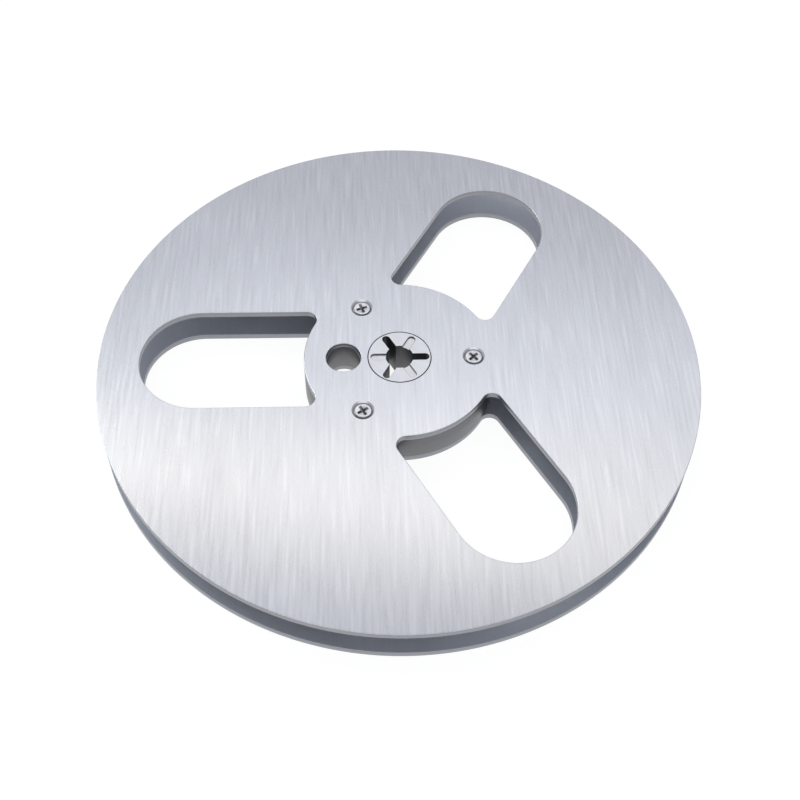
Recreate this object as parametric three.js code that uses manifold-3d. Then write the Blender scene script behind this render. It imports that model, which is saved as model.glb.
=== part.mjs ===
// Open reel for quarter-inch tape. Two aluminium flanges with three windows are screwed to a solid
// hub, and a bush held in the middle of the hub fits the deck's three-winged spindle.
// Millimetres. +Z is the reel's axis, and the lower flange rests on Z = 0.
import * as THREE from 'three';
import { mergeVertices } from 'three/addons/utils/BufferGeometryUtils.js';
import Module from 'manifold-3d';

const wasm = await Module();
wasm.setup();

// Flanges
const REEL_RADIUS = 89;
const REEL_THICKNESS = 12.7;
const FLANGE_THICKNESS = 2;
const RIM_CHAMFER = 0.2;

// Windows, one to each third of the flange, whose inner edge follows the hub
const HUB_RADIUS = 28.4;
const WINDOW_ANGLES = [60, 180, 300];
const WINDOW_HALF_WIDTH = 17.6;
const WINDOW_END_CENTRE = 59.4;
const WINDOW_CORNER_RADIUS = 3.05;

// Spindle bush, held by a shoulder between the two flanges
const BUSH_RADIUS = 9.3;
const BUSH_SHOULDER_RADIUS = 10.3;
const BUSH_CLEARANCE = 0.2;
const BORE_RADIUS = 4.05;
const WING_SLOT_ANGLES = [0, 120, 240];
const WING_SLOT_WIDTH = 2.3;
const WING_SLOT_REACH = 8.85;
const LOCK_RECESS_ANGLES = [60, 180, 300];
const LOCK_RECESS_WIDTH = 2.3;
const LOCK_RECESS_REACH = 8.6;
const LOCK_RECESS_DEPTH = 0.5;

// Finger hole, narrower through the hub than through the flanges
const FINGER_HOLE_ANGLE = 180;
const FINGER_HOLE_DISTANCE = 16.65;
const FINGER_HOLE_RADIUS = 5.2;
const FINGER_HOLE_HUB_RADIUS = 4.9;

// M3 countersunk screws, three through each flange, with their heads a little below its face
const SCREW_CIRCLE_RADIUS = 22.1;
const SCREW_ANGLES = [0, 120, 240];
const SHANK_RADIUS = 1.5;
const SHANK_CLEARANCE = 0.15;
const SHANK_LENGTH = 5.6;
const TIP_CHAMFER = 0.4;
const HEAD_RADIUS = 2.8;
const HEAD_BELOW_FACE = 0.3;
const CROSS_HALF_SPAN = 1.75;
const CROSS_FOOT_HALF_SPAN = 0.5;
const CROSS_WING_WIDTH = 0.8;
const CROSS_DEPTH = 1.4;
const UPPER_CROSS_ANGLES = [42, 20, 31];
const LOWER_CROSS_ANGLES = [10, 65, 50];

// Facets
const RIM_SEGMENTS = 120;
const HUB_SEGMENTS = 72;
const BUSH_SEGMENTS = 48;
const HOLE_SEGMENTS = 32;
const SCREW_SEGMENTS = 20;
const ARC_SEGMENTS = 14;
const OVERCUT = 1;

const UNDER_UPPER_FLANGE = REEL_THICKNESS - FLANGE_THICKNESS;
const radians = THREE.MathUtils.degToRad;

const metal = (color, roughness) => new THREE.MeshStandardMaterial({ color, roughness, metalness: 1 });
const brushedAluminium = metal(0xd3d6dc, 0.36);
const turnedAluminium = metal(0xb9bcc2, 0.42);
const satinMetal = metal(0xdcdde2, 0.45);
const platedSteel = metal(0xe2e2e4, 0.22);

// A solid that can be joined and cut, from a closed geometry
function toSolid(geometry) {
  geometry.deleteAttribute('normal');
  geometry.deleteAttribute('uv');
  const merged = mergeVertices(geometry);
  const mesh = new wasm.Mesh({
    numProp: 3,
    vertProperties: new Float32Array(merged.attributes.position.array),
    triVerts: withoutSlivers(merged.index.array),
  });
  return new wasm.Manifold(mesh);
}

// Triangles that still have three different corners once the shared vertices are merged
function withoutSlivers(index) {
  const kept = [];
  for (let i = 0; i < index.length; i += 3) {
    const [a, b, c] = index.slice(i, i + 3);
    if (a !== b && b !== c && c !== a) kept.push(a, b, c);
  }
  return new Uint32Array(kept);
}

function toGeometry(solid) {
  const { vertProperties, triVerts } = solid.getMesh();
  const geometry = new THREE.BufferGeometry();
  geometry.setAttribute('position', new THREE.BufferAttribute(vertProperties, 3));
  geometry.setIndex(new THREE.BufferAttribute(triVerts, 1));
  geometry.computeVertexNormals();
  return geometry;
}

// Turned about Z from [radius, height] corners listed anticlockwise, seen with Z up and radius right
function turned(corners, segments) {
  const profile = corners.map(([radius, height]) => new THREE.Vector2(radius, height));
  if (corners[0][0] > 0) profile.push(profile[0].clone());
  return toSolid(new THREE.LatheGeometry(profile, segments).rotateX(Math.PI / 2));
}

function prism(shape, from, to) {
  const options = { depth: to - from, bevelEnabled: false, curveSegments: ARC_SEGMENTS };
  return new THREE.ExtrudeGeometry(shape, options).translate(0, 0, from);
}

// Cylinder or cone about Z, moved out from the axis by distance in the direction of angle
function post({ radius, topRadius = radius, from, to, distance = 0, angle = 0, segments }) {
  const geometry = new THREE.CylinderGeometry(topRadius, radius, to - from, segments);
  geometry.rotateX(Math.PI / 2).translate(distance, 0, (from + to) / 2).rotateZ(radians(angle));
  return toSolid(geometry);
}

const cutAll = (solid, cutters) => cutters.reduce((left, cutter) => left.subtract(cutter), solid);

// Window on +X: straight sides, a half-round outer end and an inner edge that follows the hub
function windowShape() {
  const cornerY = WINDOW_HALF_WIDTH - WINDOW_CORNER_RADIUS;
  const cornerX = Math.sqrt((HUB_RADIUS + WINDOW_CORNER_RADIUS) ** 2 - cornerY ** 2);
  const contact = Math.atan2(cornerY, cornerX);
  const quarter = Math.PI / 2;
  const shape = new THREE.Shape();
  shape.moveTo(cornerX, -WINDOW_HALF_WIDTH);
  shape.lineTo(WINDOW_END_CENTRE, -WINDOW_HALF_WIDTH);
  shape.absarc(WINDOW_END_CENTRE, 0, WINDOW_HALF_WIDTH, -quarter, quarter, false);
  shape.lineTo(cornerX, WINDOW_HALF_WIDTH);
  shape.absarc(cornerX, cornerY, WINDOW_CORNER_RADIUS, quarter, Math.PI + contact, false);
  shape.absarc(0, 0, HUB_RADIUS, contact, -contact, true);
  shape.absarc(cornerX, -cornerY, WINDOW_CORNER_RADIUS, Math.PI - contact, 3 * quarter, false);
  return shape;
}

// Slot from the axis out to reach, with a round outer end
function slotShape(width, reach) {
  const half = width / 2;
  const shape = new THREE.Shape();
  shape.moveTo(0, -half);
  shape.lineTo(reach - half, -half);
  shape.absarc(reach - half, 0, half, -Math.PI / 2, Math.PI / 2, false);
  shape.lineTo(0, half);
  return shape;
}

function slots(angles, width, reach, from, to) {
  return angles.map((angle) => toSolid(prism(slotShape(width, reach), from, to).rotateZ(radians(angle))));
}

// The flange lying on Z = 0 with its outer face down; its inner face is up
function flangeDisc() {
  const rim = REEL_RADIUS - RIM_CHAMFER;
  const hole = BUSH_RADIUS + BUSH_CLEARANCE;
  return turned([
    [hole, 0],
    [rim, 0],
    [REEL_RADIUS, RIM_CHAMFER],
    [REEL_RADIUS, FLANGE_THICKNESS - RIM_CHAMFER],
    [rim, FLANGE_THICKNESS],
    [hole, FLANGE_THICKNESS],
  ], RIM_SEGMENTS);
}

function flangeOpenings() {
  const from = -OVERCUT;
  const to = FLANGE_THICKNESS + OVERCUT;
  const windows = WINDOW_ANGLES.map((angle) => (
    toSolid(prism(windowShape(), from, to).rotateZ(radians(angle)))
  ));
  const fingerHole = post({
    radius: FINGER_HOLE_RADIUS,
    from,
    to,
    distance: FINGER_HOLE_DISTANCE,
    angle: FINGER_HOLE_ANGLE,
    segments: HOLE_SEGMENTS,
  });
  return [...windows, fingerHole];
}

function screwHoles(from, to) {
  return SCREW_ANGLES.map((angle) => post({
    radius: SHANK_RADIUS + SHANK_CLEARANCE,
    from,
    to,
    distance: SCREW_CIRCLE_RADIUS,
    angle,
    segments: SCREW_SEGMENTS,
  }));
}

// Cones for the screws' heads, open at the outer face
function countersinks() {
  const mouth = HEAD_RADIUS + HEAD_BELOW_FACE + SHANK_CLEARANCE;
  return SCREW_ANGLES.map((angle) => post({
    radius: mouth + OVERCUT,
    topRadius: SHANK_RADIUS,
    from: -OVERCUT,
    to: mouth - SHANK_RADIUS,
    distance: SCREW_CIRCLE_RADIUS,
    angle,
    segments: SCREW_SEGMENTS,
  }));
}

function flange() {
  return cutAll(flangeDisc(), [
    ...flangeOpenings(),
    ...screwHoles(-OVERCUT, FLANGE_THICKNESS + OVERCUT),
    ...countersinks(),
  ]);
}

function hubCore() {
  const seat = BUSH_SHOULDER_RADIUS + BUSH_CLEARANCE;
  const ring = turned([
    [seat, FLANGE_THICKNESS],
    [HUB_RADIUS, FLANGE_THICKNESS],
    [HUB_RADIUS, UNDER_UPPER_FLANGE],
    [seat, UNDER_UPPER_FLANGE],
  ], HUB_SEGMENTS);
  const fingerHole = post({
    radius: FINGER_HOLE_HUB_RADIUS,
    from: 0,
    to: REEL_THICKNESS,
    distance: FINGER_HOLE_DISTANCE,
    angle: FINGER_HOLE_ANGLE,
    segments: HOLE_SEGMENTS,
  });
  return cutAll(ring, [fingerHole, ...screwHoles(0, REEL_THICKNESS)]);
}

function spindleBush() {
  const body = turned([
    [BORE_RADIUS, 0],
    [BUSH_RADIUS, 0],
    [BUSH_RADIUS, FLANGE_THICKNESS],
    [BUSH_SHOULDER_RADIUS, FLANGE_THICKNESS],
    [BUSH_SHOULDER_RADIUS, UNDER_UPPER_FLANGE],
    [BUSH_RADIUS, UNDER_UPPER_FLANGE],
    [BUSH_RADIUS, REEL_THICKNESS],
    [BORE_RADIUS, REEL_THICKNESS],
  ], BUSH_SEGMENTS);
  const overTop = REEL_THICKNESS + OVERCUT;
  const recessFloor = REEL_THICKNESS - LOCK_RECESS_DEPTH;
  return cutAll(body, [
    ...slots(WING_SLOT_ANGLES, WING_SLOT_WIDTH, WING_SLOT_REACH, -OVERCUT, overTop),
    ...slots(LOCK_RECESS_ANGLES, LOCK_RECESS_WIDTH, LOCK_RECESS_REACH, recessFloor, overTop),
    ...slots(LOCK_RECESS_ANGLES, LOCK_RECESS_WIDTH, LOCK_RECESS_REACH, -OVERCUT, LOCK_RECESS_DEPTH),
  ]);
}

// One of the two crossed wings of the driver recess, tapering to its foot, below the head's face on Z = 0
function crossWing(turn) {
  const rise = OVERCUT / CROSS_DEPTH;
  const mouthHalf = CROSS_HALF_SPAN + (CROSS_HALF_SPAN - CROSS_FOOT_HALF_SPAN) * rise;
  const shape = new THREE.Shape();
  shape.moveTo(-CROSS_FOOT_HALF_SPAN, -CROSS_DEPTH);
  shape.lineTo(CROSS_FOOT_HALF_SPAN, -CROSS_DEPTH);
  shape.lineTo(mouthHalf, OVERCUT);
  shape.lineTo(-mouthHalf, OVERCUT);
  const half = CROSS_WING_WIDTH / 2;
  return toSolid(prism(shape, -half, half).rotateX(Math.PI / 2).rotateZ(turn));
}

// Countersunk screw whose flat head is level with Z = 0, with its shank below
function countersunkScrew() {
  const cone = HEAD_RADIUS - SHANK_RADIUS;
  const body = turned([
    [0, -SHANK_LENGTH],
    [SHANK_RADIUS - TIP_CHAMFER, -SHANK_LENGTH],
    [SHANK_RADIUS, TIP_CHAMFER - SHANK_LENGTH],
    [SHANK_RADIUS, -cone],
    [HEAD_RADIUS, 0],
    [0, 0],
  ], SCREW_SEGMENTS);
  return cutAll(body, [crossWing(0), crossWing(Math.PI / 2)]);
}

function named(name, solid, material) {
  const mesh = new THREE.Mesh(toGeometry(solid), material);
  mesh.name = name;
  return mesh;
}

// Three screws on the screw circle, all with their heads up on Z = 0
function screwRing(prefix, crossAngles) {
  const solid = countersunkScrew();
  const ring = new THREE.Group();
  SCREW_ANGLES.forEach((angle, i) => {
    const screw = named(`${prefix}_${i + 1}`, solid, platedSteel);
    const turn = radians(angle);
    screw.position.set(SCREW_CIRCLE_RADIUS * Math.cos(turn), SCREW_CIRCLE_RADIUS * Math.sin(turn), 0);
    screw.rotation.z = radians(crossAngles[i]);
    ring.add(screw);
  });
  return ring;
}

const reel = new THREE.Group();

// The upper flange is turned over about X, so its outer face is up
const upperFlange = named('upper_flange', flange(), brushedAluminium);
upperFlange.rotation.x = Math.PI;
upperFlange.position.z = REEL_THICKNESS;
reel.add(upperFlange);

reel.add(named('lower_flange', flange(), brushedAluminium));
reel.add(named('hub_core', hubCore(), turnedAluminium));
reel.add(named('spindle_bush', spindleBush(), satinMetal));

const upperScrews = screwRing('upper_screw', UPPER_CROSS_ANGLES);
upperScrews.position.z = REEL_THICKNESS - HEAD_BELOW_FACE;
reel.add(upperScrews);

// Turned over about X, so the screws at +Y and -Y change places and all point up into the hub
const lowerScrews = screwRing('lower_screw', LOWER_CROSS_ANGLES);
lowerScrews.rotation.x = Math.PI;
lowerScrews.position.z = HEAD_BELOW_FACE;
reel.add(lowerScrews);

export default reel;
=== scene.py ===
"""A brushed aluminium open reel for quarter-inch tape, on a plain pale floor in soft studio light."""

import math

import bmesh
import bpy
from mathutils import Matrix, Vector


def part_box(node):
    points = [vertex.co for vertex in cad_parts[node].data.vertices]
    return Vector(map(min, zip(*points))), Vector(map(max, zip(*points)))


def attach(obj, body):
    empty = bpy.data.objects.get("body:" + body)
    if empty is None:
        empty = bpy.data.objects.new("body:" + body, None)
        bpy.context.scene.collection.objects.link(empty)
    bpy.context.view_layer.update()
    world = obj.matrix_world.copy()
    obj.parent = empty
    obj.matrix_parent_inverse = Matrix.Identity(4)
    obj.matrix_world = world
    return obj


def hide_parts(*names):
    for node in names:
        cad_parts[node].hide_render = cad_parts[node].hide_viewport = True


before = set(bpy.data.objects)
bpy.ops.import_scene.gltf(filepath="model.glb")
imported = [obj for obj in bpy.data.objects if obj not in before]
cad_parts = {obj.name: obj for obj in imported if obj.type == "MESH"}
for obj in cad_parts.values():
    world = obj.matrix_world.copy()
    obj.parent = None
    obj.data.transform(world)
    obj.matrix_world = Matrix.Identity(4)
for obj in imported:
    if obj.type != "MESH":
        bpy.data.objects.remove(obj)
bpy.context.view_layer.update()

MM = 0.001

# Levels and radii that the frame gives
HUB_LOW, HUB_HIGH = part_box("hub_core")
BUSH_LOW, BUSH_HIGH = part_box("spindle_bush")
REST_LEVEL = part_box("lower_flange")[0].z
REEL_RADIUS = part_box("upper_flange")[1].x
HUB_RADIUS = HUB_HIGH.x
SHOULDER_RADIUS = BUSH_HIGH.x

# Windows, seen in plan
THIRDS = [0.0, math.tau / 3, 2 * math.tau / 3]
SIXTH = math.tau / 6
WINDOW_HALF_WIDTH = 17.6 * MM
WINDOW_END_CENTRE = 59.4 * MM
WINDOW_CORNER_RADIUS = 3.05 * MM

# Spindle bush
BUSH_RADIUS = 9.3 * MM
BUSH_CLEARANCE = 0.2 * MM
BORE_RADIUS = 4.05 * MM
SLOT_HALF_WIDTH = 1.15 * MM
ARM_CORNER = math.asin(SLOT_HALF_WIDTH / BORE_RADIUS)
SLOT_REACH = 8.85 * MM
RECESS_REACH = 8.6 * MM
RECESS_DEPTH = 0.5 * MM

# Finger hole and screws
FINGER_HOLE_CENTRE = (-16.65 * MM, 0.0)
FINGER_HOLE_RADIUS = 5.2 * MM
FINGER_HOLE_HUB_RADIUS = 4.9 * MM
SCREW_CIRCLE_RADIUS = 22.1 * MM
SCREW_HOLE_RADIUS = 1.65 * MM
SHANK_RADIUS = 1.5 * MM
HEAD_RADIUS = 2.8 * MM
HEAD_FACE_RADIUS = 2.4 * MM
HEAD_RIM_DROP = 0.14 * MM
SINK_RADIUS = 3.25 * MM
CROSS_MOUTH_REACH = 1.75 * MM
CROSS_FOOT_REACH = 0.55 * MM
CROSS_MOUTH_HALF_WIDTH = 0.42 * MM
CROSS_FOOT_HALF_WIDTH = 0.3 * MM
CROSS_DEPTH = 1.4 * MM
CROSS_POINT = 0.3 * MM
CROSS_FILLET = 0.12 * MM

# How far the cutter stands out of the screw, and its half width there
CROSS_OVERCUT = 0.5 * MM
CROSS_OVERCUT_HALF_WIDTH = 0.45 * MM

# How far each screw is turned, in degrees
UPPER_CROSS_ANGLES = [42, 20, 31]
LOWER_CROSS_ANGLES = [10, 65, 50]

# Edge rounding
FLANGE_EDGE = 0.18 * MM
HUB_EDGE = 0.22 * MM
BUSH_EDGE = 0.07 * MM
HOLE_EDGE = 0.1 * MM
SCREW_EDGE = 0.04 * MM
SINK_BEVEL = HOLE_EDGE / 2

# Steps round each circle
RIM_STEPS = 480
HUB_STEPS = 288
BUSH_STEPS = 144
FINGER_HOLE_STEPS = 96
SCREW_STEPS = 64
SCREW_HOLE_STEPS = 48

# Steps along each arc of the windows and of the bush's opening
WINDOW_END_STEPS = 72
WINDOW_HUB_STEPS = 36
WINDOW_CORNER_STEPS = 20
ARM_END_STEPS = 24
BORE_STEPS = 12
RECESS_LIP_STEPS = 8
CROSS_FILLET_STEPS = 4

# Edges that turn further than this are shaded as corners
SHARP_ANGLE = math.radians(40)

# Material slots past the first two, which are the faces and the walls
INNER_SLOT = 2
SINK_SLOT = 3
DRILLED_SLOT = 2
RECESS_SLOT = 2

# A screw's face is where its normal's Z is above this; the rest of the screw takes the rim's dark grey,
# painted shade
NEARLY_LEVEL = 0.97

# The flatter part of a rounding is where its normal's Z is above this
HALF_TURNED = 0.6

# The camera is turned and raised about an aim on the resting plane. Its angles are in degrees, the aim and
# the lens and sensor in millimetres, and the clipping distances in metres.
CAMERA_AZIMUTH = -2.66
CAMERA_ELEVATION = 51.67
CAMERA_ROLL = 1.415
CAMERA_DISTANCE = 392 * MM
CAMERA_AIM = Vector((0.02, 16.37, 0))
CAMERA_LENS = 56.27
CAMERA_SENSOR = 36
CAMERA_SHIFT = -0.075
CAMERA_CLIP = (0.01, 20)

FLOOR_SIZE = 8
FLOOR_GAP = 0.02 * MM
FLOOR_GREY = (0.2, 0.2, 0.2, 1)
FLOOR_GLOW = 0.92

SKY_COLOUR = (0.86, 0.885, 1.0, 1)
SKY_STRENGTH = 0.4

LIGHT_DISTANCE = 1.1
WARM = (1.0, 0.85, 0.62)
COOL = (0.89, 0.95, 1.0)


# ---------------------------------------------------------------- outlines

def arc(centre, radius, start, end, steps):
    """Points on an arc, with both of its ends."""
    turns = [start + (end - start) * i / steps for i in range(steps + 1)]
    return [Vector((centre[0] + radius * math.cos(t), centre[1] + radius * math.sin(t))) for t in turns]


def circle(centre, radius, steps):
    return arc(centre, radius, 0, math.tau, steps)[:-1]


def turned(points, angle):
    spin = Matrix.Rotation(angle, 2)
    return [spin @ p for p in points]


def hole(points):
    """An anticlockwise outline turned round, so that the solid lies on its left."""
    return points[::-1]


def window_outline():
    """The window on +X: straight sides, a half-round outer end and an inner edge that follows the hub."""
    corner_y = WINDOW_HALF_WIDTH - WINDOW_CORNER_RADIUS
    corner_x = math.sqrt((HUB_RADIUS + WINDOW_CORNER_RADIUS) ** 2 - corner_y**2)
    contact = math.atan2(corner_y, corner_x)
    quarter = math.pi / 2
    outer_end = arc((WINDOW_END_CENTRE, 0), WINDOW_HALF_WIDTH, -quarter, quarter, WINDOW_END_STEPS)
    radius, steps = WINDOW_CORNER_RADIUS, WINDOW_CORNER_STEPS
    left_corner = arc((corner_x, corner_y), radius, quarter, math.pi + contact, steps)
    hub_side = arc((0, 0), HUB_RADIUS, contact, -contact, WINDOW_HUB_STEPS)[1:-1]
    right_corner = arc((corner_x, -corner_y), radius, math.pi - contact, 3 * quarter, steps)
    return outer_end + left_corner + hub_side + right_corner


def screw_centres():
    return [Vector((SCREW_CIRCLE_RADIUS * math.cos(t), SCREW_CIRCLE_RADIUS * math.sin(t))) for t in THIRDS]


def inset(points, distance):
    """A closed outline moved to its left by distance, with mitred corners."""
    moved = []
    for before, here, after in zip(points[-1:] + points[:-1], points, points[1:] + points[:1]):
        a = left_of(here - before)
        b = left_of(after - here)
        moved.append(here + (a + b) * (distance / (1 + a.dot(b))))
    return moved


def left_of(step):
    return Vector((-step.y, step.x)).normalized()


# ---------------------------------------------------------------- solids

def rounded_wall(low, high, radius, steps=3):
    """(inset, height) up a wall whose two edges are rounded."""
    turns = [math.pi / 2 * i / steps for i in range(steps + 1)]
    foot = [(radius * (1 - math.sin(t)), low + radius * (1 - math.cos(t))) for t in turns]
    head = [(d, low + high - z) for d, z in reversed(foot)]
    return foot + head


def new_ring(mesh, points, height):
    return [mesh.verts.new((p.x, p.y, height)) for p in points]


def join_rings(mesh, lower, upper, slot=1):
    for i in range(len(lower)):
        face = mesh.faces.new((lower[i - 1], lower[i], upper[i], upper[i - 1]))
        face.smooth = True
        face.material_index = slot


def raise_wall(mesh, outline, profile, slot=1):
    """Builds one wall and gives its lowest and highest ring."""
    rings = [new_ring(mesh, inset(outline, distance), height) for distance, height in profile]
    for lower, upper in zip(rings, rings[1:]):
        join_rings(mesh, lower, upper, slot)
    return rings[0], rings[-1]


def close_end(mesh, rings, slot=0):
    """Fills the flat region between rings that lie at one height."""
    edges = [mesh.edges.get((ring[i - 1], ring[i])) for ring in rings for i in range(len(ring))]
    filled = bmesh.ops.triangle_fill(mesh, use_beauty=True, edges=edges)
    for face in filled["geom"]:
        if isinstance(face, bmesh.types.BMFace):
            face.material_index = slot
            face.smooth = False


def share_roundings(mesh, low_slot, high_slot):
    """Gives the flatter part of each rounding the material of the flat end that it runs into."""
    mesh.normal_update()
    heights = [vertex.co.z for vertex in mesh.verts]
    middle = (min(heights) + max(heights)) / 2
    for face in mesh.faces:
        if face.material_index == 1 and abs(face.normal.z) > HALF_TURNED:
            face.material_index = high_slot if face.calc_center_median().z > middle else low_slot


def add_brush_uv(mesh):
    """A plan map whose U runs across the brushing, for the direction of the highlights."""
    layer = mesh.loops.layers.uv.new("brush")
    for face in mesh.faces:
        for loop in face.loops:
            loop[layer].uv = loop.vert.co.xy


def finished(name, mesh, materials):
    bmesh.ops.recalc_face_normals(mesh, faces=mesh.faces)
    add_brush_uv(mesh)
    data = bpy.data.meshes.new(name)
    mesh.to_mesh(data)
    is_smooth = [face.smooth for face in mesh.faces]
    mesh.free()
    data.set_sharp_from_angle(angle=SHARP_ANGLE)
    data.polygons.foreach_set("use_smooth", is_smooth)
    for material in materials:
        data.materials.append(material)
    piece = bpy.data.objects.new(name, data)
    bpy.context.scene.collection.objects.link(piece)
    return piece


def slab(name, walls, materials, low_slot=0, high_slot=0):
    """A closed solid with flat ends, from (outline, profile) walls with the solid on each outline's left.

    A wall may name its material slot, and the two flat ends have a slot each.
    """
    mesh = bmesh.new()
    ends = [raise_wall(mesh, *wall) for wall in walls]
    close_end(mesh, [low for low, _ in ends], low_slot)
    close_end(mesh, [high for _, high in ends], high_slot)
    share_roundings(mesh, low_slot, high_slot)
    return finished(name, mesh, materials)


def stands_for(piece, node):
    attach(piece, "root")
    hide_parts(node)
    return piece


# ---------------------------------------------------------------- flanges and hub

def flange_walls(low, high):
    """Every wall that the two flanges have in common."""
    edge = rounded_wall(low, high, FLANGE_EDGE)
    small_edge = rounded_wall(low, high, HOLE_EDGE)
    rim = (circle((0, 0), REEL_RADIUS, RIM_STEPS), edge)
    windows = [(hole(turned(window_outline(), t + SIXTH)), edge) for t in THIRDS]
    middle = (hole(circle((0, 0), BUSH_RADIUS + BUSH_CLEARANCE, BUSH_STEPS)), small_edge)
    finger = (hole(circle(FINGER_HOLE_CENTRE, FINGER_HOLE_RADIUS, FINGER_HOLE_STEPS)), edge)
    return [rim, *windows, middle, finger]


def screw_hole_walls(profile):
    return [(hole(circle(c, SCREW_HOLE_RADIUS, SCREW_HOLE_STEPS)), profile) for c in screw_centres()]


def countersunk_profile(low, high):
    """Up from the lower face: a cone for the screw's head, then the plain hole."""
    depth = SINK_RADIUS - SCREW_HOLE_RADIUS
    ends = rounded_wall(low, high, HOLE_EDGE)
    head = ends[len(ends) // 2:]
    return [(depth + SINK_BEVEL, low), (depth, low + SINK_BEVEL), (0, low + depth), *head]


def flange(node, low_slot, high_slot, materials):
    """A flange whose countersinks open at the outer face, which is the one in slot 0."""
    low, high = (corner.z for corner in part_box(node))
    profile = countersunk_profile(low, high)
    if high_slot == 0:
        profile = [(distance, low + high - height) for distance, height in reversed(profile)]
    walls = flange_walls(low, high) + [(*wall, SINK_SLOT) for wall in screw_hole_walls(profile)]
    piece = slab(f"{node}_disc", walls, materials, low_slot, high_slot)
    return stands_for(piece, node)


def hub(materials):
    edge = rounded_wall(HUB_LOW.z, HUB_HIGH.z, HUB_EDGE)
    outer = (circle((0, 0), HUB_RADIUS, HUB_STEPS), edge)
    seat = (hole(circle((0, 0), SHOULDER_RADIUS + BUSH_CLEARANCE, BUSH_STEPS)), edge)
    finger_outline = circle(FINGER_HOLE_CENTRE, FINGER_HOLE_HUB_RADIUS, FINGER_HOLE_STEPS)
    finger = (hole(finger_outline), edge, DRILLED_SLOT)
    walls = [outer, seat, finger, *screw_hole_walls(edge)]
    return stands_for(slab("hub_ring", walls, materials), "hub_core")


# ---------------------------------------------------------------- spindle bush

def arm_outline(angle, reach):
    """One round-ended arm cut outwards from the bore, from its first corner on the bore to its last."""
    start = Vector((BORE_RADIUS * math.cos(ARM_CORNER), -SLOT_HALF_WIDTH))
    finish = Vector((start.x, SLOT_HALF_WIDTH))
    tip = (reach - SLOT_HALF_WIDTH, 0)
    end = arc(tip, SLOT_HALF_WIDTH, -math.pi / 2, math.pi / 2, ARM_END_STEPS)
    return turned([start, *end, finish], angle)


def bore_arc(start, end, steps):
    """Points on the bore between two corners, without the corners."""
    return arc((0, 0), BORE_RADIUS, start, end, steps)[1:-1]


def bore_between(angle):
    """The bore from the arm at an angle to the next arm."""
    return bore_arc(angle + ARM_CORNER, angle + SIXTH - ARM_CORNER, BORE_STEPS)


class BushLevel:
    """The bush's opening at one height where the lock recesses end: with the recesses and without them."""

    def __init__(self, mesh, height):
        self.with_recesses = []
        self.without_recesses = []
        self.floors = []
        for i in range(6):
            angle = i * SIXTH
            is_recess = i % 2 == 1
            reach = RECESS_REACH if is_recess else SLOT_REACH
            arm = new_ring(mesh, arm_outline(angle, reach), height)
            between = new_ring(mesh, bore_between(angle), height)
            self.with_recesses += arm + between
            if is_recess:
                across = bore_arc(angle - ARM_CORNER, angle + ARM_CORNER, RECESS_LIP_STEPS)
                lip = new_ring(mesh, across, height)
                self.without_recesses += [arm[0], *lip, arm[-1], *between]
                self.floors.append(arm + lip[::-1])
            else:
                self.without_recesses += arm + between

    def add_floors(self, mesh):
        for corners in self.floors:
            floor = mesh.faces.new(corners)
            floor.material_index = RECESS_SLOT


def opening_outline():
    """The bush's opening at its two end faces, anticlockwise."""
    outline = []
    for i in range(6):
        angle = i * SIXTH
        outline += arm_outline(angle, RECESS_REACH if i % 2 else SLOT_REACH)
        outline += bore_between(angle)
    return outline


def bush_outer_profile(low, high):
    """Up the outside of the bush, past the shoulder that lies between the flanges."""
    shoulder = BUSH_RADIUS - SHOULDER_RADIUS
    ends = rounded_wall(low, high, BUSH_EDGE)
    half = len(ends) // 2
    return [
        *ends[:half],
        (0, HUB_LOW.z),
        (shoulder, HUB_LOW.z),
        (shoulder, HUB_HIGH.z),
        (0, HUB_HIGH.z),
        *ends[half:],
    ]


def bush(materials):
    low, high = BUSH_LOW.z, BUSH_HIGH.z
    mesh = bmesh.new()
    outside = circle((0, 0), BUSH_RADIUS, BUSH_STEPS)
    outer_low, outer_high = raise_wall(mesh, outside, bush_outer_profile(low, high))
    top = BushLevel(mesh, high - RECESS_DEPTH)
    bottom = BushLevel(mesh, low + RECESS_DEPTH)
    join_rings(mesh, bottom.without_recesses, top.without_recesses)
    top.add_floors(mesh)
    bottom.add_floors(mesh)
    ends = rounded_wall(low, high, BUSH_EDGE)
    half = len(ends) // 2
    mouth = opening_outline()
    rings = [new_ring(mesh, inset(mouth, -distance), height) for distance, height in ends]
    foot = rings[:half] + [bottom.with_recesses]
    head = [top.with_recesses] + rings[half:]
    for part in (foot, head):
        for lower, upper in zip(part, part[1:]):
            join_rings(mesh, lower, upper)
    close_end(mesh, [outer_low, rings[0]])
    close_end(mesh, [outer_high, rings[-1]])
    piece = finished("spindle_bush_body", mesh, materials)
    return stands_for(piece, "spindle_bush")


# ---------------------------------------------------------------- screws

def lathe(name, profile, materials):
    """Turned about Z from (radius, height) corners, with a flat disc at each end."""
    mesh = bmesh.new()
    rings = [new_ring(mesh, circle((0, 0), radius, SCREW_STEPS), height) for radius, height in profile]
    for lower, upper in zip(rings, rings[1:]):
        join_rings(mesh, lower, upper)
    for ring in (rings[0], rings[-1]):
        mesh.faces.new(ring)
    mesh.normal_update()
    # Nearly level faces take slot 0, the rest slot 1, which holds the screws' dark rim: painted shade.
    for face in mesh.faces:
        face.material_index = 0 if abs(face.normal.z) > NEARLY_LEVEL else 1
    return finished(name, mesh, materials)


def screw_profile(length):
    """A countersunk head with its face on Z = 0 and a bevelled rim, and its shank below."""
    cone = HEAD_RADIUS - SHANK_RADIUS
    return [
        (SHANK_RADIUS, -length),
        (SHANK_RADIUS, -cone),
        (HEAD_RADIUS, -HEAD_RIM_DROP),
        (HEAD_FACE_RADIUS, 0),
    ]


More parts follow.
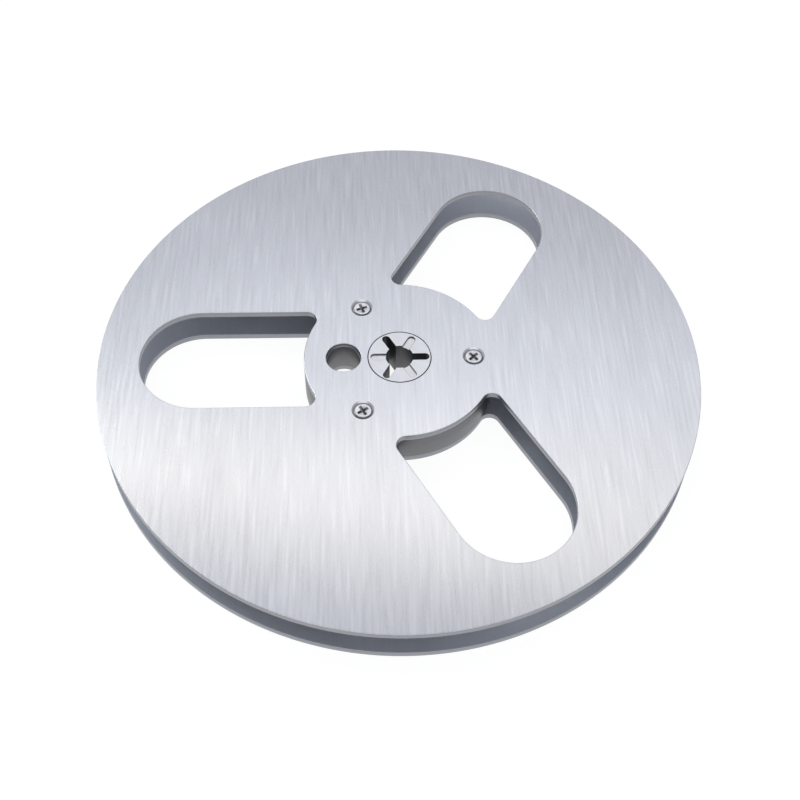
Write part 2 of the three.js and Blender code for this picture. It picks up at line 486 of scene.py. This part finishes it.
def cross_cutter(materials):
    """A driver recess with four tapering wings, whose mouth is on Z = 0."""
    mesh = bmesh.new()
    spread = (CROSS_MOUTH_REACH - CROSS_FOOT_REACH) * CROSS_OVERCUT / CROSS_DEPTH
    levels = [
        (CROSS_FOOT_REACH, CROSS_FOOT_HALF_WIDTH, -CROSS_DEPTH),
        (CROSS_MOUTH_REACH, CROSS_MOUTH_HALF_WIDTH, 0),
        (CROSS_MOUTH_REACH + spread, CROSS_OVERCUT_HALF_WIDTH, CROSS_OVERCUT),
    ]
    rings = [new_ring(mesh, cross_outline(reach, half), height) for reach, half, height in levels]
    for lower, upper in zip(rings, rings[1:]):
        join_rings(mesh, lower, upper)
    point = mesh.verts.new((0, 0, -CROSS_DEPTH - CROSS_POINT))
    for i in range(len(rings[0])):
        mesh.faces.new((rings[0][i - 1], rings[0][i], point))
    mesh.faces.new(rings[-1])
    # Its faces pass the darker recess material, painted shade, on to the cut.
    for face in mesh.faces:
        face.material_index = RECESS_SLOT
    return finished("cross_cutter", mesh, materials)


def cross_outline(reach, half):
    """A plus sign with four arms, with a small fillet in each inner corner."""
    centre = (half + CROSS_FILLET, half + CROSS_FILLET)
    quarter = [Vector((reach, -half)), Vector((reach, half))]
    quarter += arc(centre, CROSS_FILLET, 1.5 * math.pi, math.pi, CROSS_FILLET_STEPS)
    return [p for i in range(4) for p in turned(quarter, i * math.pi / 2)]


def with_cross(body):
    """Cuts the driver recess and rounds every sharp edge a little."""
    cutter = cross_cutter(body.data.materials)
    cut = body.modifiers.new("recess", "BOOLEAN")
    cut.object = cutter
    cut.solver = "EXACT"
    soften = body.modifiers.new("soften", "BEVEL")
    soften.width = SCREW_EDGE
    soften.segments = 2
    soften.limit_method = "ANGLE"
    soften.angle_limit = SHARP_ANGLE
    apply_modifiers(body)
    bpy.data.objects.remove(cutter)
    body.data.shade_smooth()
    body.data.set_sharp_from_angle(angle=SHARP_ANGLE)
    return body


def apply_modifiers(piece):
    graph = bpy.context.evaluated_depsgraph_get()
    data = bpy.data.meshes.new_from_object(piece.evaluated_get(graph))
    piece.modifiers.clear()
    piece.data = data


def screws(prefix, cross_angles, is_upper, materials):
    """One screw for each CAD node, at that node's middle, with its head at the outer face."""
    low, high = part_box(f"{prefix}_1")
    body = with_cross(lathe(prefix, screw_profile(high.z - low.z), materials))
    over = Matrix.Identity(4) if is_upper else Matrix.Rotation(math.pi, 4, "X")
    face = high.z if is_upper else low.z
    for i, angle in enumerate(cross_angles):
        node = f"{prefix}_{i + 1}"
        low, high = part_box(node)
        place = Matrix.Translation(((low.x + high.x) / 2, (low.y + high.y) / 2, face))
        data = body.data.copy()
        data.transform(place @ over @ Matrix.Rotation(math.radians(angle), 4, "Z"))
        piece = bpy.data.objects.new(f"{node}_body", data)
        bpy.context.scene.collection.objects.link(piece)
        stands_for(piece, node)
    bpy.data.objects.remove(body)


# ---------------------------------------------------------------- materials

class Nodes:
    """A material's node tree, with short ways to add and link nodes."""

    def __init__(self, name):
        self.material = bpy.data.materials.new(name)
        self.material.use_nodes = True
        self.tree = self.material.node_tree
        self.shader = self.tree.nodes["Principled BSDF"]

    def add(self, kind, **settings):
        node = self.tree.nodes.new(kind)
        for key, value in settings.items():
            setattr(node, key, value)
        return node

    def link(self, source, target):
        self.tree.links.new(source, target)

    def position(self, scale):
        """Object position, stretched along its axes."""
        stretch = self.add("ShaderNodeVectorMath", operation="MULTIPLY")
        stretch.inputs[1].default_value = scale
        self.link(self.add("ShaderNodeTexCoord").outputs["Object"], stretch.inputs[0])
        return stretch.outputs["Vector"]

    def noise(self, scale, detail=2.0, roughness=0.5):
        texture = self.add("ShaderNodeTexNoise")
        texture.inputs["Scale"].default_value = 1.0
        texture.inputs["Detail"].default_value = detail
        texture.inputs["Roughness"].default_value = roughness
        self.link(self.position(scale), texture.inputs["Vector"])
        return texture.outputs["Fac"]

    def remap(self, value, low, high, start=0.3, end=0.7):
        """Takes values from start..end to low..high."""
        node = self.add("ShaderNodeMapRange")
        for key, number in zip(("From Min", "From Max", "To Min", "To Max"), (start, end, low, high)):
            node.inputs[key].default_value = number
        self.link(value, node.inputs["Value"])
        return node.outputs["Result"]

    def sum(self, *values):
        total = values[0]
        for value in values[1:]:
            node = self.add("ShaderNodeMath", operation="ADD")
            self.link(total, node.inputs[0])
            self.link(value, node.inputs[1])
            total = node.outputs["Value"]
        return total

    def colour(self, value, dark, light):
        """Blends two colours by a value from 0 to 1."""
        node = self.add("ShaderNodeMix", data_type="RGBA")
        node.inputs["A"].default_value = (*dark, 1)
        node.inputs["B"].default_value = (*light, 1)
        self.link(value, node.inputs["Factor"])
        self.link(node.outputs["Result"], self.shader.inputs["Base Color"])

    def bump(self, height, distance):
        node = self.add("ShaderNodeBump")
        node.inputs["Distance"].default_value = distance
        node.inputs["Strength"].default_value = 1.0
        self.link(height, node.inputs["Height"])
        self.link(node.outputs["Normal"], self.shader.inputs["Normal"])

    def metal(self, roughness=None, anisotropy=0.0):
        self.shader.inputs["Metallic"].default_value = 1.0
        self.shader.inputs["Anisotropic"].default_value = anisotropy
        if roughness is not None:
            self.shader.inputs["Roughness"].default_value = roughness


def brushed_face_material():
    """Straight-grained aluminium: fine streaks along the brushing and highlights spread across it."""
    nodes = Nodes("brushed_aluminium_face")
    nodes.metal(anisotropy=0.85)
    streak = nodes.noise((1000, 70, 70), detail=1, roughness=0.4)
    scratch = nodes.noise((1250, 62, 62), detail=0)
    drift = nodes.noise((150, 12, 12), detail=1)
    tone = nodes.sum(
        nodes.remap(streak, 0.05, 0.4),
        nodes.remap(scratch, -0.4, 0, start=0.22, end=0.4),
        nodes.remap(scratch, 0, 0.5, start=0.58, end=0.78),
        nodes.remap(drift, 0.1, 0.3),
    )
    nodes.colour(tone, (0.785, 0.79, 0.815), (0.925, 0.93, 0.955))
    nodes.link(nodes.remap(streak, 0.26, 0.3), nodes.shader.inputs["Roughness"])
    nodes.bump(streak, 0.004 * MM)
    tangent = nodes.add("ShaderNodeTangent", direction_type="UV_MAP", uv_map="brush")
    nodes.link(tangent.outputs["Tangent"], nodes.shader.inputs["Tangent"])
    return nodes.material


def worn_metal_material(name, dark, light, gloss, lines, patches, depth):
    """Plain metal, whose tone and gloss follow cutting lines and soft patches.

    Lines and patches are noise scales along X, Y and Z, and depth is the height of the lines.
    """
    nodes = Nodes(name)
    nodes.metal()
    line = nodes.noise(lines, detail=2)
    patch = nodes.noise(patches, detail=3)
    nodes.colour(nodes.sum(nodes.remap(line, 0, 0.5), nodes.remap(patch, 0, 0.5)), dark, light)
    nodes.link(nodes.remap(patch, *gloss), nodes.shader.inputs["Roughness"])
    nodes.bump(line, depth)
    return nodes.material


def cut_edge_material():
    """The flanges' cut edges, with faint lines along the cut, their colour darkened well below the faces'
    as painted shade for the dark surroundings they reflect.
    """
    return worn_metal_material(
        "cut_aluminium_edge_painted_shade",
        (0.25, 0.26, 0.28),
        (0.33, 0.34, 0.36),
        gloss=(0.32, 0.42),
        lines=(60, 60, 5200),
        patches=(260, 260, 500),
        depth=0.006 * MM,
    )


def inner_face_material():
    """The flanges' inner faces, rolled but not brushed, darker and bluer than the outer faces as painted
    shade for the gap between the flanges.
    """
    return worn_metal_material(
        "rolled_aluminium_inner_face_painted_shade",
        (0.6, 0.62, 0.66),
        (0.66, 0.68, 0.72),
        gloss=(0.55, 0.62),
        lines=(2500, 60, 60),
        patches=(70, 70, 70),
        depth=0.002 * MM,
    )


def countersink_material():
    """The countersinks' cones, cut bright."""
    return worn_metal_material(
        "bright_countersink",
        (0.92, 0.92, 0.93),
        (0.97, 0.97, 0.98),
        gloss=(0.25, 0.35),
        lines=(60, 60, 5200),
        patches=(260, 260, 500),
        depth=0.003 * MM,
    )


def turned_wall_material():
    """The hub's turned wall, with fine rings round it, its colour darkened far below bare aluminium as
    painted shade between the flanges.
    """
    return worn_metal_material(
        "turned_aluminium_wall_painted_shade",
        (0.15, 0.152, 0.158),
        (0.205, 0.207, 0.215),
        gloss=(0.36, 0.46),
        lines=(25, 25, 4200),
        patches=(180, 180, 300),
        depth=0.01 * MM,
    )


def drilled_wall_material():
    """The finger hole through the hub, dull from drilling, its colour darkened as painted shade inside the
    hole.
    """
    return worn_metal_material(
        "drilled_aluminium_wall_painted_shade",
        (0.2, 0.2, 0.205),
        (0.26, 0.26, 0.265),
        gloss=(0.45, 0.55),
        lines=(80, 80, 3500),
        patches=(300, 300, 300),
        depth=0.01 * MM,
    )


def faced_material():
    """The hub's end faces, faced on a lathe."""
    return worn_metal_material(
        "faced_aluminium",
        (0.6, 0.6, 0.62),
        (0.7, 0.7, 0.72),
        gloss=(0.36, 0.44),
        lines=(900, 900, 900),
        patches=(300, 300, 300),
        depth=0.004 * MM,
    )


def satin_material(name, dark, light, roughness):
    """Bead-blasted metal: an even, fine grain with no direction."""
    nodes = Nodes(name)
    nodes.metal()
    grain = nodes.noise((9000, 9000, 9000), detail=2)
    patches = nodes.noise((500, 500, 500), detail=3)
    nodes.colour(nodes.sum(nodes.remap(grain, 0, 0.5), nodes.remap(patches, 0, 0.5)), dark, light)
    nodes.link(nodes.remap(patches, roughness - 0.05, roughness + 0.05), nodes.shader.inputs["Roughness"])
    nodes.bump(grain, 0.004 * MM)
    return nodes.material


def screw_material(name, dark, light, gloss):
    """Nickel-plated steel, lightly marked by handling."""
    return worn_metal_material(
        name,
        dark,
        light,
        gloss=gloss,
        lines=(4000, 4000, 4000),
        patches=(1500, 1500, 1500),
        depth=0.003 * MM,
    )


# ---------------------------------------------------------------- studio

def make_floor():
    bpy.ops.mesh.primitive_plane_add(size=FLOOR_SIZE, location=(0, 0, REST_LEVEL - FLOOR_GAP))
    floor = bpy.context.object
    floor.name = "floor"
    nodes = Nodes("pale_floor")
    nodes.shader.inputs["Base Color"].default_value = FLOOR_GREY
    nodes.shader.inputs["Roughness"].default_value = 0.9
    nodes.shader.inputs["Specular IOR Level"].default_value = 0.0
    nodes.shader.inputs["Emission Color"].default_value = (1, 1, 1, 1)
    nodes.shader.inputs["Emission Strength"].default_value = FLOOR_GLOW
    floor.data.materials.append(nodes.material)


def make_softbox(name, direction, size, turn, power, colour=(1.0, 1.0, 1.0)):
    """A rectangular light that faces the reel. Direction is (azimuth, elevation) in degrees, from +Y."""
    azimuth, elevation = (math.radians(a) for a in direction)
    way = Vector(
        (
            math.sin(azimuth) * math.cos(elevation),
            math.cos(azimuth) * math.cos(elevation),
            math.sin(elevation),
        )
    )
    data = bpy.data.lights.new(name, "AREA")
    data.shape = "RECTANGLE"
    data.size, data.size_y = size
    data.energy = power
    data.color = colour
    light = bpy.data.objects.new(name, data)
    facing = way.to_track_quat("Z", "Y").to_matrix().to_4x4()
    spin = Matrix.Rotation(math.radians(turn), 4, "Z")
    light.matrix_world = Matrix.Translation(way * LIGHT_DISTANCE) @ facing @ spin
    bpy.context.scene.collection.objects.link(light)


def make_lights():
    """Broad panels round the reel, and narrow ones that draw the bright band across it."""
    make_softbox("back_panel", direction=(30, 56), size=(1.4, 0.35), turn=8, power=0.66, colour=COOL)
    make_softbox("low_panel", direction=(0, 36), size=(1.4, 0.35), turn=-8, power=0.27)
    make_softbox("left_panel", direction=(-60, 40), size=(0.5, 0.3), turn=0, power=1.55, colour=COOL)
    make_softbox("band_left", direction=(-30, 68), size=(1.2, 0.1), turn=8, power=0.14, colour=COOL)
    make_softbox("band_middle", direction=(0, 62), size=(1.2, 0.1), turn=-8, power=0.21, colour=WARM)
    make_softbox("band_upper", direction=(0, 57), size=(1.2, 0.1), turn=0, power=0.05, colour=WARM)
    make_softbox("band_low", direction=(0, 50), size=(1.2, 0.1), turn=0, power=0.06)
    make_softbox("front_panel", direction=(180, 40), size=(1.4, 0.5), turn=0, power=1.3)


def make_world():
    world = bpy.data.worlds.new("studio")
    world.use_nodes = True
    background = world.node_tree.nodes["Background"]
    background.inputs["Color"].default_value = SKY_COLOUR
    background.inputs["Strength"].default_value = SKY_STRENGTH
    bpy.context.scene.world = world


def make_camera():
    """A view from above the near rim, level apart from a slight roll."""
    angles = (CAMERA_AZIMUTH, CAMERA_ELEVATION, CAMERA_ROLL)
    azimuth, elevation, roll = (math.radians(a) for a in angles)
    aim = Matrix.Rotation(azimuth, 3, "Z") @ CAMERA_AIM * MM
    ahead = Matrix.Rotation(azimuth, 3, "Z") @ Vector((0, math.cos(elevation), -math.sin(elevation)))
    level = ahead.cross(Vector((0, 0, 1))).normalized()
    up = level.cross(ahead)
    right = level * math.cos(roll) + up * math.sin(roll)
    over = up * math.cos(roll) - level * math.sin(roll)
    data = bpy.data.cameras.new("camera")
    data.sensor_width = CAMERA_SENSOR
    data.lens = CAMERA_LENS
    data.shift_y = CAMERA_SHIFT
    data.clip_start, data.clip_end = CAMERA_CLIP
    camera = bpy.data.objects.new("camera", data)
    facing = Matrix((right, over, -ahead)).transposed().to_4x4()
    camera.matrix_world = Matrix.Translation(aim - ahead * CAMERA_DISTANCE) @ facing
    bpy.context.scene.collection.objects.link(camera)
    bpy.context.scene.camera = camera


def build_reel():
    flange_materials = [
        brushed_face_material(),
        cut_edge_material(),
        inner_face_material(),
        countersink_material(),
    ]
    screw_materials = [
        screw_material("screw_face", (0.86, 0.86, 0.87), (0.95, 0.95, 0.95), gloss=(0.24, 0.32)),
        # The rim's dark grey is painted shade for the dark ring round each head.
        screw_material("screw_rim_painted_shade", (0.2, 0.2, 0.21), (0.28, 0.28, 0.29), gloss=(0.25, 0.35)),
        # The driver recess is darkened as painted shade inside the cross.
        screw_material("screw_recess_painted_shade", (0.32, 0.32, 0.32), (0.42, 0.42, 0.42), gloss=(0.4, 0.5)),
    ]
    bush_materials = [
        satin_material("satin_bush_face", (0.9, 0.9, 0.92), (0.96, 0.96, 0.98), 0.34),
        # Every wall of the bush takes this dark grey, painted shade for the inside of its bore and slots.
        satin_material("bush_bore_wall_painted_shade", (0.13, 0.13, 0.135), (0.19, 0.19, 0.2), 0.5),
        satin_material("bush_recess_floor", (0.88, 0.88, 0.88), (0.95, 0.95, 0.95), 0.35),
    ]
    flange("upper_flange", INNER_SLOT, 0, flange_materials)
    flange("lower_flange", 0, INNER_SLOT, flange_materials)
    hub([faced_material(), turned_wall_material(), drilled_wall_material()])
    bush(bush_materials)
    screws("upper_screw", UPPER_CROSS_ANGLES, True, screw_materials)
    screws("lower_screw", LOWER_CROSS_ANGLES, False, screw_materials)


make_camera()
make_world()
make_floor()
make_lights()
build_reel()
bpy.context.scene.view_settings.view_transform = "Standard"
